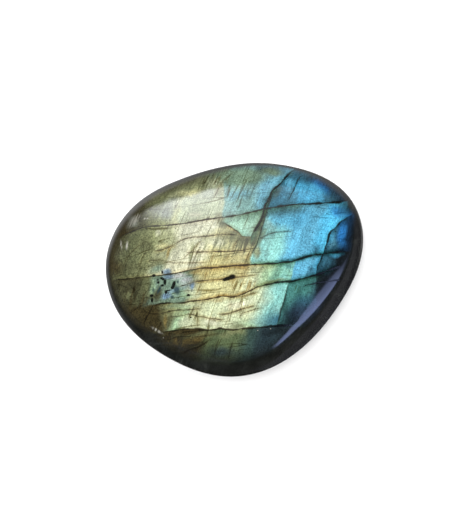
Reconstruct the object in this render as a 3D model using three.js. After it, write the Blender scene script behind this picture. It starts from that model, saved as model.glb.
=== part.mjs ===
// A polished labradorite pebble, ground and polished by hand from one piece of rock.
// It is a single solid: a broad low dome on top, a full rounded edge all round that is steepest
// along the lower right flank, and a small flat underneath that it rests on.
//
// Millimetres, +Z up. +X runs along the stone's length. The origin is on the surface that the stone
// rests on, under the middle of its bounding box.

import * as THREE from "three";
import { mergeVertices } from "three/addons/utils/BufferGeometryUtils.js";

// Driving dimensions of the finished stone.
const LENGTH = 60;
const WIDTH = 49.5;
const THICKNESS = 23;

// Share of the thickness that lies above the widest line round the stone.
const DOME_SHARE = 0.53;

// The outline seen from above: its radius at equal steps of bearing, anticlockwise from +X, as a
// share of half the length. A rounded triangle, fullest at the upper right, with long flanks that
// meet in a blunt corner at the lower middle.
const OUTLINE_RADII = [
  0.97, 1.07, 1.005, 0.895, 0.83, 0.825, 0.9, 1.0, 1.02, 0.96, 0.875, 0.84, 0.835, 0.82, 0.815, 0.855,
];

// How square the section is, from 2 for an ellipse upwards: above and below the widest line.
const DOME_SQUARENESS = 2.2;
const UNDERSIDE_SQUARENESS = 2.35;

// Where the dome turns over more squarely: the long lower right flank, and the stone's right end.
// Each fades away from its bearing, the faster the narrower it is.
const SQUARER_STRETCHES = [
  { bearing: -28, extra: 0.32, narrowness: 2 },
  { bearing: 8, extra: 0.9, narrowness: 9 },
];

// The top of the dome stands off the middle of the outline, as a share of half the length.
const CREST_OFFSET = new THREE.Vector2(0.05, 0.03);

// The widest line round the stone rises to one side, as a share of half the length.
const EDGE_RISE = 0.03;
const EDGE_RISE_BEARING = THREE.MathUtils.degToRad(150);

// Broad soft flats left by the polishing wheel. Each faces one way, takes off a depth in
// millimetres from the fullest point that faces that way, and blends in over its softness.
const POLISHED_FLATS = [
  { bearing: -35, elevation: 48, depth: 0.6, softness: 0.5 },
  { bearing: 150, elevation: 52, depth: 0.5, softness: 0.5 },
  { bearing: 70, elevation: 46, depth: 0.4, softness: 0.4 },
  { bearing: -110, elevation: 44, depth: 0.5, softness: 0.5 },
  { bearing: 15, elevation: -50, depth: 0.5, softness: 0.6 },
  { bearing: -160, elevation: -48, depth: 0.5, softness: 0.6 },
];

// The flat underneath: how far the underside would reach below it, and how softly its rim turns up.
const BASE_CUT = 1.2;
const BASE_SOFTNESS = 0.35;

// Mesh steps along each side of the cube that the surface is spread from.
const STEPS = 24;

// A smooth closed curve through values at equal steps of angle.
function throughValues(values, angle) {
  const count = values.length;
  let sum = 0;
  values.forEach((value, i) => {
    const half = (angle - (i * 2 * Math.PI) / count) / 2;
    const near = Math.abs(Math.sin(half)) < 1e-9;
    sum += value * (near ? 1 : Math.sin(count * half) / (count * Math.tan(half)));
  });
  return sum;
}

// How squarely the section turns over on one bearing, above or below the widest line.
function squareness(angle, above) {
  let power = above ? DOME_SQUARENESS : UNDERSIDE_SQUARENESS;
  for (const { bearing, extra, narrowness } of SQUARER_STRETCHES) {
    const facing = Math.max(0, Math.cos(angle - THREE.MathUtils.degToRad(bearing)));
    power += extra * facing ** narrowness;
  }
  return power;
}

// The point of the stone's surface that lies in one direction from its middle.
function surfacePoint(direction) {
  const { x, y, z } = direction;
  const out = Math.hypot(x, y);
  const bearing = Math.atan2(y, x);
  const power = squareness(bearing, z > 0);
  const reach = (out ** power + Math.abs(z) ** power) ** (-1 / power);

  const half = LENGTH / 2;
  const radius = half * throughValues(OUTLINE_RADII, bearing) * out * reach;
  const height = THICKNESS * (z > 0 ? DOME_SHARE : 1 - DOME_SHARE) * z * reach;

  const lean = Math.max(0, height / (THICKNESS * DOME_SHARE)) ** 2;
  const rise = half * EDGE_RISE * (out * reach) ** 3 * Math.cos(bearing - EDGE_RISE_BEARING);
  return new THREE.Vector3(
    radius * Math.cos(bearing) + half * CREST_OFFSET.x * lean,
    radius * Math.sin(bearing) + half * CREST_OFFSET.y * lean,
    height + rise,
  );
}

// The surface before any flat is ground: a cube's grid of points spread evenly over the stone.
function roughStone() {
  const geometry = new THREE.BoxGeometry(2, 2, 2, STEPS, STEPS, STEPS);
  geometry.deleteAttribute("normal");
  geometry.deleteAttribute("uv");
  const merged = mergeVertices(geometry);
  const points = merged.getAttribute("position");
  const direction = new THREE.Vector3();
  const evenAngle = (value) => Math.tan((value * Math.PI) / 4);
  for (let i = 0; i < points.count; i++) {
    direction.fromBufferAttribute(points, i);
    direction.set(evenAngle(direction.x), evenAngle(direction.y), evenAngle(direction.z)).normalize();
    const point = surfacePoint(direction);
    points.setXYZ(i, point.x, point.y, point.z);
  }
  return merged;
}

// Presses whatever stands beyond a plane back towards it, with a soft turn at its rim.
function grindFlat(geometry, { bearing, elevation, depth, softness }) {
  const turn = THREE.MathUtils.degToRad(bearing);
  const tilt = THREE.MathUtils.degToRad(elevation);
  const facing = new THREE.Vector3(
    Math.cos(tilt) * Math.cos(turn),
    Math.cos(tilt) * Math.sin(turn),
    Math.sin(tilt),
  );
  const points = geometry.getAttribute("position");
  const point = new THREE.Vector3();
  let furthest = -Infinity;
  for (let i = 0; i < points.count; i++) {
    furthest = Math.max(furthest, point.fromBufferAttribute(points, i).dot(facing));
  }
  for (let i = 0; i < points.count; i++) {
    point.fromBufferAttribute(points, i);
    const beyond = point.dot(facing) - (furthest - depth);
    const kept = -softness * Math.log1p(Math.exp(-beyond / softness));
    point.addScaledVector(facing, kept - beyond);
    points.setXYZ(i, point.x, point.y, point.z);
  }
}

// Stretches the stone to its driving dimensions, with its lowest point at z = -BASE_CUT, then
// flattens what lies below z = 0.
function sizeAndSetDown(geometry) {
  geometry.computeBoundingBox();
  const { min, max } = geometry.boundingBox;
  geometry.translate(-(min.x + max.x) / 2, -(min.y + max.y) / 2, -min.z);
  geometry.scale(
    LENGTH / (max.x - min.x),
    WIDTH / (max.y - min.y),
    (THICKNESS + BASE_CUT) / (max.z - min.z),
  );
  geometry.translate(0, 0, -BASE_CUT);
  const points = geometry.getAttribute("position");
  for (let i = 0; i < points.count; i++) {
    const z = points.getZ(i);
    if (z <= -BASE_SOFTNESS) {
      points.setZ(i, 0);
    } else if (z < BASE_SOFTNESS) {
      points.setZ(i, (z + BASE_SOFTNESS) ** 2 / (4 * BASE_SOFTNESS));
    }
  }
}

function stone() {
  const geometry = roughStone();
  for (const flat of POLISHED_FLATS) {
    grindFlat(geometry, flat);
  }
  sizeAndSetDown(geometry);
  geometry.computeVertexNormals();
  const polish = new THREE.MeshStandardMaterial({ color: 0x7d958c, roughness: 0.12, metalness: 0 });
  const mesh = new THREE.Mesh(geometry, polish);
  mesh.name = "stone";
  return mesh;
}

const labradorite = new THREE.Group();
labradorite.add(stone());

export default labradorite;
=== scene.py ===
import math

import bpy
from mathutils import Matrix, Vector


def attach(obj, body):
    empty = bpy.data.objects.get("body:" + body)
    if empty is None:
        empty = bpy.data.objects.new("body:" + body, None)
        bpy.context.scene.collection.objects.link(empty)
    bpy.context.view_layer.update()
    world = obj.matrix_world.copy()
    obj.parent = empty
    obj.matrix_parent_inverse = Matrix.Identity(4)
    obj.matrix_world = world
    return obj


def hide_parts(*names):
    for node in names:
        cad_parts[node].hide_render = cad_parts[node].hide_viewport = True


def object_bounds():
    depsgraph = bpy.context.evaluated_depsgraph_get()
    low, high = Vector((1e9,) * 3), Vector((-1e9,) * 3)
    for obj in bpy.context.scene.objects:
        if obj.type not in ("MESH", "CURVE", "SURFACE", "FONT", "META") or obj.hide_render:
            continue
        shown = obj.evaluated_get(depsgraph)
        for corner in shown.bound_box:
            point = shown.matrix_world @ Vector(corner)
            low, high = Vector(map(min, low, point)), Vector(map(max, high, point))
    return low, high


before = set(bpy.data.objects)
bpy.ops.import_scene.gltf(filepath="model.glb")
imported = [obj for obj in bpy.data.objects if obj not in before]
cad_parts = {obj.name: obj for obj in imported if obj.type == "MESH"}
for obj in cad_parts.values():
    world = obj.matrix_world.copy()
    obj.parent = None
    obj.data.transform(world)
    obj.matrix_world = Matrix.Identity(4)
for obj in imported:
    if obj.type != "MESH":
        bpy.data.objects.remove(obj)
CAD_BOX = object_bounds()

bl_info = {
    "name": "Polished labradorite",
    "version": (1, 0, 0),
    "blender": (4, 5, 0),
    "location": "3D View > Sidebar > Labradorite",
    "description": "Finishes a hand-polished labradorite pebble and sets up its small studio",
    "category": "Object",
}

MM = 0.001


def shade(red, green, blue):
    """A colour as it looks on a screen, 0 to 255, turned into the linear values that Blender uses."""
    values = []
    for value in (red, green, blue):
        share = value / 255
        values.append(share / 12.92 if share <= 0.04045 else ((share + 0.055) / 1.055) ** 2.4)
    return tuple(values)


# The photographed view

CAMERA_AZIMUTH = math.radians(40)
CAMERA_ELEVATION = math.radians(74)
CAMERA_DISTANCE = 284.5
CAMERA_LENS = 85
CAMERA_SENSOR = 36

# The middle of the view in the stone's own millimetres.
FACE_MIDDLE = Vector((0.6, 1.62, 11.0))

# The stone is split along sheets that show their flash towards one side, a little off straight up.
# The flash and the cracks are laid out on that face: RIGHT and UP lie in it, OUT leaves it.
FACE_OUT = Vector((
    math.sin(CAMERA_AZIMUTH) * math.cos(CAMERA_ELEVATION),
    -math.cos(CAMERA_AZIMUTH) * math.cos(CAMERA_ELEVATION),
    math.sin(CAMERA_ELEVATION),
))
FACE_RIGHT = (-FACE_OUT).cross(Vector((0, 1, 0))).normalized()
FACE_UP = FACE_RIGHT.cross(-FACE_OUT)

# How far the stone's grain leans to the right for each millimetre up, and how many degrees its long
# seams rise to the right.
GRAIN_LEAN = 0.36
SEAM_RISE = 6


# Sizes and colours that a user would change

class StonePolish(bpy.types.PropertyGroup):
    """How the surface was ground and polished."""
    waviness: bpy.props.FloatProperty(
        name="Waviness", description="Height of the gentle waves that hand polishing leaves",
        default=0.05 * MM, min=0, unit="LENGTH", precision=6)
    wave_length: bpy.props.FloatProperty(
        name="Wave length", description="Distance from one wave to the next",
        default=11 * MM, min=1 * MM, unit="LENGTH", precision=4)
    roughness: bpy.props.FloatProperty(
        name="Roughness", description="Roughness of the polished skin",
        default=0.07, min=0, max=1, subtype="FACTOR")
    refraction: bpy.props.FloatProperty(
        name="Refractive index", description="Refractive index of labradorite",
        default=1.56, min=1, max=3)
    grain_relief: bpy.props.FloatProperty(
        name="Grain relief", description="How far the polish stands off the softer streaks",
        default=0.01 * MM, min=0, unit="LENGTH", precision=6)


def colour(name, description, *screen):
    """A colour that a user can change, with its default given as it looks on a screen."""
    return bpy.props.FloatVectorProperty(
        name=name, description=description, default=shade(*screen), subtype="COLOR", size=3, min=0, max=1)


class FlashColours(bpy.types.PropertyGroup):
    """The colours of the flash, the stone's sheen painted into its colour, from the warm end of the stone
    to the blue one.
    """
    bark: colour("Bark", "Brown where the flash dies away at the left", 68, 61, 37)
    moss: colour("Moss", "Dull green of the left end", 74, 74, 52)
    olive: colour("Olive", "Green-brown beside the moss", 106, 111, 78)
    khaki: colour("Khaki", "Between the olive and the pale middle", 142, 148, 106)
    dune: colour("Dune", "Dull sand before the pale middle", 182, 186, 146)
    cream: colour("Cream", "Palest warm grey of the middle", 214, 216, 186)
    cloud: colour("Cloud", "Pale grey-green above the upper seam", 178, 187, 156)
    pewter: colour("Pewter", "Cool grey beside the pale middle", 150, 158, 146)
    straw: colour("Straw", "Pale gold above the heart", 208, 205, 152)
    gold: colour("Gold", "Golden heart of the stone", 200, 187, 124)
    honey: colour("Honey", "Warm brown beside the seams", 160, 138, 78)
    leaf: colour("Leaf", "Soft green to the right of the heart", 172, 204, 162)
    mint: colour("Mint", "Palest green below the heart", 222, 232, 190)
    sage: colour("Sage", "Grey-green of the upper edge", 122, 146, 120)
    mist: colour("Mist", "Grey-blue haze beside the break", 130, 172, 166)
    haze: colour("Haze", "Blue-grey at the break's upper end", 112, 172, 192)
    sea: colour("Sea", "Pale aqua where green turns to blue", 146, 212, 204)
    sky: colour("Sky", "Light blue of the right half", 102, 180, 212)
    blue: colour("Blue", "Clear blue right of the breaks", 84, 174, 214)
    azure: colour("Azure", "Strong blue near the right end", 94, 198, 240)
    cobalt: colour("Cobalt", "Deep blue at the edge of the flash", 46, 120, 186)
    steel: colour("Steel", "Darker blue beside the break", 60, 112, 134)
    jade: colour("Jade", "Green-blue above the lower seam", 126, 180, 156)
    teal: colour("Teal", "Green-blue below the lower seam", 74, 132, 126)
    lagoon: colour("Lagoon", "Pale green-blue round the black grains", 124, 150, 130)
    lilac: colour("Lilac", "Cool blue-grey among the black grains", 116, 146, 172)
    pearl: colour("Pearl", "Pale grey-lilac among the black grains", 184, 190, 188)
    pine: colour("Pine", "Dull blue-green of the lowest sheet", 62, 84, 78)
    pool: colour("Pool", "Grey-blue of the lowest sheet", 48, 64, 70)
    shine: colour("Shine", "Brightest places of the warm flash", 248, 248, 210)
    tab: colour("Tab", "Bright aqua of the tab under the upper seam", 158, 212, 192)
    wedge: colour("Wedge", "Dull blue-green caught in the break", 56, 92, 66)
    fern: colour("Fern", "Dull green at the top of the lowest sheet", 92, 106, 74)
    navy: colour("Navy", "Last trace of blue before the dark stone", 44, 60, 80)
    ink: colour("Ink", "Blue-black where no flash is left", 20, 24, 23)


class BodyColours(bpy.types.PropertyGroup):
    """The stone itself, where no flash covers it, and what is caught in it."""
    feldspar: colour("Feldspar", "Dark grey-green body of the stone", 24, 26, 23)
    smoke: colour("Smoke", "Paler clouds in the body", 50, 52, 50)
    glint: colour("Glint", "Faint sheen on the body's cleavage lines", 104, 110, 104)
    umber: colour("Umber", "Brown that the flash turns to before it dies away", 62, 54, 34)
    crack: colour("Crack", "What a deep crack leaves of the colour round it", 42, 46, 36)
    seam: colour("Seam", "Filling of the cracks in the stone's warm half", 88, 72, 42)
    rust: colour("Rust", "What the stain beside a crack leaves of a warm colour", 196, 160, 92)
    weed: colour("Weed", "What the stain beside a crack leaves of a cold colour", 150, 166, 150)
    thread: colour("Thread", "What a hair-thin thread leaves of the colour round it", 128, 114, 70)
    # Painted glints near the left end and at the lower left, and pale specks of dust.
    glint_and_speck: colour("Fleck", "Pale flaws that catch the light near the left end", 196, 194, 182)
    deep: colour("Deep", "Dark green-blue blots among the black grains", 40, 62, 68)
    ore: colour("Ore", "Black grains caught in the stone", 12, 14, 12)


class StudioLook(bpy.types.PropertyGroup):
    """The stage and its lights."""
    floor_size: bpy.props.FloatProperty(
        name="Floor size", description="Side of the pale floor", default=3.0, min=0.5, unit="LENGTH")
    overhead_power: bpy.props.FloatProperty(
        name="Overhead power", description="Power of the broad light above the stone",
        default=12.5, min=0, unit="POWER")
    fill: bpy.props.FloatProperty(
        name="Fill", description="Brightness of the soft light from all round", default=0.6, min=0)
    softbox: bpy.props.FloatProperty(
        name="Softbox", description="Brightness of the softbox that the face mirrors", default=8.0, min=0)
    strip: bpy.props.FloatProperty(
        name="Strip light", description="Brightness of the strip that the lower right edge mirrors",
        default=3.0, min=0)


# Nodes

class NodeSheet:
    """Adds nodes to one tree and joins them, so that a formula can be written on one line."""

    COLUMN = 14

    def __init__(self, tree):
        self.tree = tree

    def add(self, kind, **settings):
        node = self.tree.nodes.new(kind)
        for name, value in settings.items():
            setattr(node, name, value)
        place = len(self.tree.nodes)
        node.location = (place // self.COLUMN * 220, -(place % self.COLUMN) * 190)
        return node

    def put(self, socket, value):
        """Joins a socket to another one, or sets it to a plain value."""
        if isinstance(value, bpy.types.NodeSocket):
            self.tree.links.new(value, socket)
        else:
            socket.default_value = value

    def math(self, operation, *values):
        node = self.add("ShaderNodeMath", operation=operation)
        for socket, value in zip(node.inputs, values):
            self.put(socket, value)
        return node.outputs[0]

    def times(self, first, *others):
        for other in others:
            first = self.math("MULTIPLY", first, other)
        return first

    def rest(self, mask):
        """What a mask leaves free."""
        return self.math("SUBTRACT", 1.0, mask)

    def vector(self, operation, *values, scale=None):
        node = self.add("ShaderNodeVectorMath", operation=operation)
        for socket, value in zip(node.inputs, values):
            self.put(socket, value)
        if scale is not None:
            self.put(node.inputs["Scale"], scale)
        return node.outputs["Value" if operation == "DOT_PRODUCT" else "Vector"]

    def dot(self, first, second):
        return self.vector("DOT_PRODUCT", first, second)

    def ramp(self, value, low, high, to_low=0.0, to_high=1.0, kind="SMOOTHSTEP"):
        """Moves a value from one range to another, and stops at the range's ends."""
        node = self.add("ShaderNodeMapRange", interpolation_type=kind, clamp=kind == "LINEAR")
        for socket, setting in zip(node.inputs, (value, low, high, to_low, to_high)):
            self.put(socket, setting)
        return node.outputs[0]

    def blend(self, factor, first, second):
        """From the first value to the second one."""
        node = self.add("ShaderNodeMix", data_type="FLOAT")
        self.put(node.inputs[0], factor)
        self.put(node.inputs[2], first)
        self.put(node.inputs[3], second)
        return node.outputs[0]

    def paint(self, factor, under, over, how="MIX"):
        """Lays a colour over another one."""
        node = self.add("ShaderNodeMix", data_type="RGBA", blend_type=how)
        self.put(node.inputs[0], factor)
        self.put(node.inputs[6], under if isinstance(under, bpy.types.NodeSocket) else (*under, 1))
        self.put(node.inputs[7], over if isinstance(over, bpy.types.NodeSocket) else (*over, 1))
        return node.outputs[2]

    def noise(self, vector, scale, detail=2.0, roughness=0.5, colour=False, flat=False):
        """Cloudy noise, its size given by how many clouds there are to the millimetre."""
        node = self.add("ShaderNodeTexNoise", noise_dimensions="2D" if flat else "3D")
        self.put(node.inputs["Vector"], vector)
        self.put(node.inputs["Scale"], scale)
        self.put(node.inputs["Detail"], detail)
        self.put(node.inputs["Roughness"], roughness)
        return node.outputs["Color" if colour else "Fac"]

    def curve(self, value, points, jagged=False):
        """A line through points, read off at a value. It runs on level beyond its two ends."""
        node = self.add("ShaderNodeFloatCurve")
        mapping = node.mapping
        mapping.clip_min_x = mapping.clip_min_y = -100
        mapping.clip_max_x = mapping.clip_max_y = 100
        mapping.extend = "HORIZONTAL"
        line = mapping.curves[0]
        ordered = sorted(points)
        while len(line.points) < len(ordered):
            line.points.new(0, 0)
        for point, place in zip(line.points, ordered):
            point.location = place
            point.handle_type = "VECTOR" if jagged else "AUTO"
        mapping.update()
        self.put(node.inputs["Value"], value)
        return node.outputs[0]

    def split(self, vector):
        node = self.add("ShaderNodeSeparateXYZ")
        self.put(node.inputs[0], vector)
        return node.outputs

    def join(self, x, y, z):
        node = self.add("ShaderNodeCombineXYZ")
        for socket, value in zip(node.inputs, (x, y, z)):
            self.put(socket, value)
        return node.outputs[0]

    def grey(self, value):
        node = self.add("ShaderNodeCombineColor")
        for socket in node.inputs:
            self.put(socket, value)
        return node.outputs[0]

    def place(self, group, **inputs):
        """Places a node group, with its inputs by name."""
        node = self.add("ShaderNodeGroup", node_tree=group)
        for name, value in inputs.items():
            self.put(node.inputs[name.replace("_", " ").capitalize()], value)
        return node.outputs


def new_group(name, inputs, outputs):
    """An empty node group. Inputs are (name, kind, default) and outputs (name, kind)."""
    tree = bpy.data.node_groups.new(name, "ShaderNodeTree")
    for label, kind, default in inputs:
        socket = tree.interface.new_socket(label, in_out="INPUT", socket_type=kind)
        if default is not None:
            socket.default_value = default
    for label, kind in outputs:
        tree.interface.new_socket(label, in_out="OUTPUT", socket_type=kind)
    sheet = NodeSheet(tree)
    return sheet, sheet.add("NodeGroupInput").outputs, sheet.add("NodeGroupOutput").inputs


FLOAT = "NodeSocketFloat"
VECTOR = "NodeSocketVector"


def face_place_group():
    """Where a point of the stone lies on the face of its flash, in millimetres right and up."""
    sheet, given, result = new_group(
        "Place on the face", [("Position", VECTOR, None)], [("Place", VECTOR)])
    metres = sheet.vector("SUBTRACT", given["Position"], FACE_MIDDLE * MM)
    from_middle = sheet.vector("SCALE", metres, scale=1 / MM)
    across = sheet.dot(from_middle, FACE_RIGHT)
    upward = sheet.dot(from_middle, FACE_UP)
    outward = sheet.dot(from_middle, FACE_OUT)
    spread = sheet.math("DIVIDE", CAMERA_DISTANCE, sheet.math("SUBTRACT", CAMERA_DISTANCE, outward))
    flat = sheet.join(across, upward, 0.0)
    sheet.put(result["Place"], sheet.vector("SCALE", flat, scale=spread))
    return sheet.tree


# A crack thins out to a point from 1.8 mm inside its end to 0.3 mm past it.
CRACK_TIP = (-0.3, 1.8)


def crack_group():
    """A crack along a line: its dark core, the stain beside it, and how far off the line a point is."""
    sheet, given, result = new_group(
        "Crack",
        [("Along", FLOAT, 0), ("Across", FLOAT, 0), ("Line", FLOAT, 0), ("Start", FLOAT, 0),
         ("End", FLOAT, 1), ("Width", FLOAT, 0.3), ("Depth", FLOAT, 1), ("Stain", FLOAT, 0.5),
         ("Unevenness", FLOAT, 1)],
        [("Core", FLOAT), ("Halo", FLOAT), ("Side", FLOAT)])
    side = sheet.math("SUBTRACT", given["Across"], given["Line"])
    off = sheet.math("ABSOLUTE", side)
    begun = sheet.ramp(sheet.math("SUBTRACT", given["Along"], given["Start"]), *CRACK_TIP)
    ended = sheet.ramp(sheet.math("SUBTRACT", given["End"], given["Along"]), *CRACK_TIP)
    reach = sheet.times(begun, ended)
    width = sheet.times(given["Width"], given["Unevenness"], sheet.blend(reach, 0.35, 1.0))
    core = sheet.ramp(off, sheet.times(width, 0.25), sheet.times(width, 0.75), 1, 0)
    halo = sheet.ramp(off, 0.0, sheet.times(given["Width"], 4.0), 1, 0)
    sheet.put(result["Core"], sheet.times(core, reach, given["Depth"]))
    sheet.put(result["Halo"], sheet.times(halo, halo, reach, given["Stain"]))
    sheet.put(result["Side"], side)
    return sheet.tree


def patch_group():
    """An oval area with a soft rim."""
    sheet, given, result = new_group(
        "Soft patch",
        [("Place", VECTOR, None), ("Middle", VECTOR, None), ("Wide", VECTOR, None), ("High", VECTOR, None),
         ("Softness", FLOAT, 1), ("Strength", FLOAT, 1)],
        [("Mask", FLOAT)])
    off = sheet.vector("SUBTRACT", given["Place"], given["Middle"])
    wide = sheet.dot(off, given["Wide"])
    high = sheet.dot(off, given["High"])
    out = sheet.math("SQRT", sheet.math("MULTIPLY_ADD", wide, wide, sheet.times(high, high)))
    inner = sheet.rest(given["Softness"])
    sheet.put(result["Mask"], sheet.ramp(out, 1.0, inner, 0.0, given["Strength"]))
    return sheet.tree


def grain_group():
    """Fine streaks that lean along the stone's sheets, a speckle over them, and hair-thin threads."""
    sheet, given, result = new_group(
        "Grain", [("Position", VECTOR, None), ("Normal", VECTOR, None)],
        [("Streaks", FLOAT), ("Hatch", FLOAT), ("Bands", FLOAT), ("Speckle", FLOAT), ("Crinkle", FLOAT),
         ("Threads", FLOAT), ("Specks", FLOAT), ("Clouds", FLOAT)])
    millimetres = sheet.vector("SCALE", given["Position"], scale=1 / MM)
    lean = math.atan(GRAIN_LEAN)
    over_grain = FACE_RIGHT * math.cos(lean) - FACE_UP * math.sin(lean)
    with_grain = FACE_RIGHT * math.sin(lean) + FACE_UP * math.cos(lean)
    over = sheet.dot(millimetres, over_grain)
    along = sheet.dot(millimetres, with_grain)
    outward = sheet.dot(millimetres, FACE_OUT)
    rise = math.radians(SEAM_RISE)
    with_seams = FACE_RIGHT * math.cos(rise) + FACE_UP * math.sin(rise)
    over_seams = FACE_UP * math.cos(rise) - FACE_RIGHT * math.sin(rise)

    def lines(place, scale, detail, reach):
        """Thin lines, where a noise passes through its middle."""
        middle = sheet.math("SUBTRACT", sheet.noise(place, scale, detail=detail), 0.5)
        return sheet.ramp(sheet.math("ABSOLUTE", middle), reach, 0.0)

    def seen(across):
        """A thread's sheet stands on edge, so it leaves no line where the surface lies along it."""
        along_sheet = sheet.math("ABSOLUTE", sheet.dot(given["Normal"], across))
        return sheet.ramp(along_sheet, 0.8, 0.5)

    stretched = sheet.join(over, sheet.times(along, 0.16), sheet.times(outward, 0.1))
    sheet.put(result["Streaks"], sheet.noise(stretched, 2.8, detail=3.0, roughness=0.7))
    sheet.put(result["Hatch"], sheet.noise(stretched, 1.2, detail=2.0, roughness=0.6))
    sheet.put(result["Bands"], sheet.noise(stretched, 0.42, detail=2.0))
    sheet.put(result["Speckle"], sheet.noise(millimetres, 3.0, detail=3.0, roughness=0.8))
    dots = sheet.add("ShaderNodeTexVoronoi")
    sheet.put(dots.inputs["Vector"], millimetres)
    sheet.put(dots.inputs["Scale"], 1.0)
    some = sheet.ramp(sheet.split(dots.outputs["Color"])[0], 0.45, 0.7)
    sheet.put(result["Specks"], sheet.times(sheet.ramp(dots.outputs["Distance"], 0.2, 0.1), some))
    sheet.put(result["Crinkle"], lines(millimetres, 0.9, 4.0, 0.05))

    fine = sheet.join(over, sheet.times(along, 0.06), sheet.times(outward, 0.05))
    steep = lines(fine, 0.5, 1.5, 0.02)
    level = sheet.join(
        sheet.dot(millimetres, with_seams * 0.1), sheet.dot(millimetres, over_seams),
        sheet.times(outward, 0.05))
    flat = lines(level, 0.3, 1.5, 0.014)
    here = sheet.ramp(sheet.noise(millimetres, 0.2, detail=1.0), 0.42, 0.58)
    steep = sheet.times(steep, here, seen(over_grain))
    flat = sheet.times(flat, sheet.rest(sheet.times(here, 0.7)), seen(FACE_UP))
    sheet.put(result["Threads"], sheet.math("MAXIMUM", steep, flat))
    sheet.put(result["Clouds"], sheet.noise(millimetres, 0.25, detail=3.0, roughness=0.55))
    return sheet.tree


# Cracks

# The lower edge of the bright tab that hangs from the upper seam.
TAB_EDGE = [
    (-3.0, 9.1), (-2.1, 8.8), (-1.6, 8.3), (-0.9, 8.0), (-0.5, 7.5), (0.2, 7.2), (1.2, 6.5), (1.4, 6.0),
    (2.1, 5.8), (3.0, 5.8)]

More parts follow.
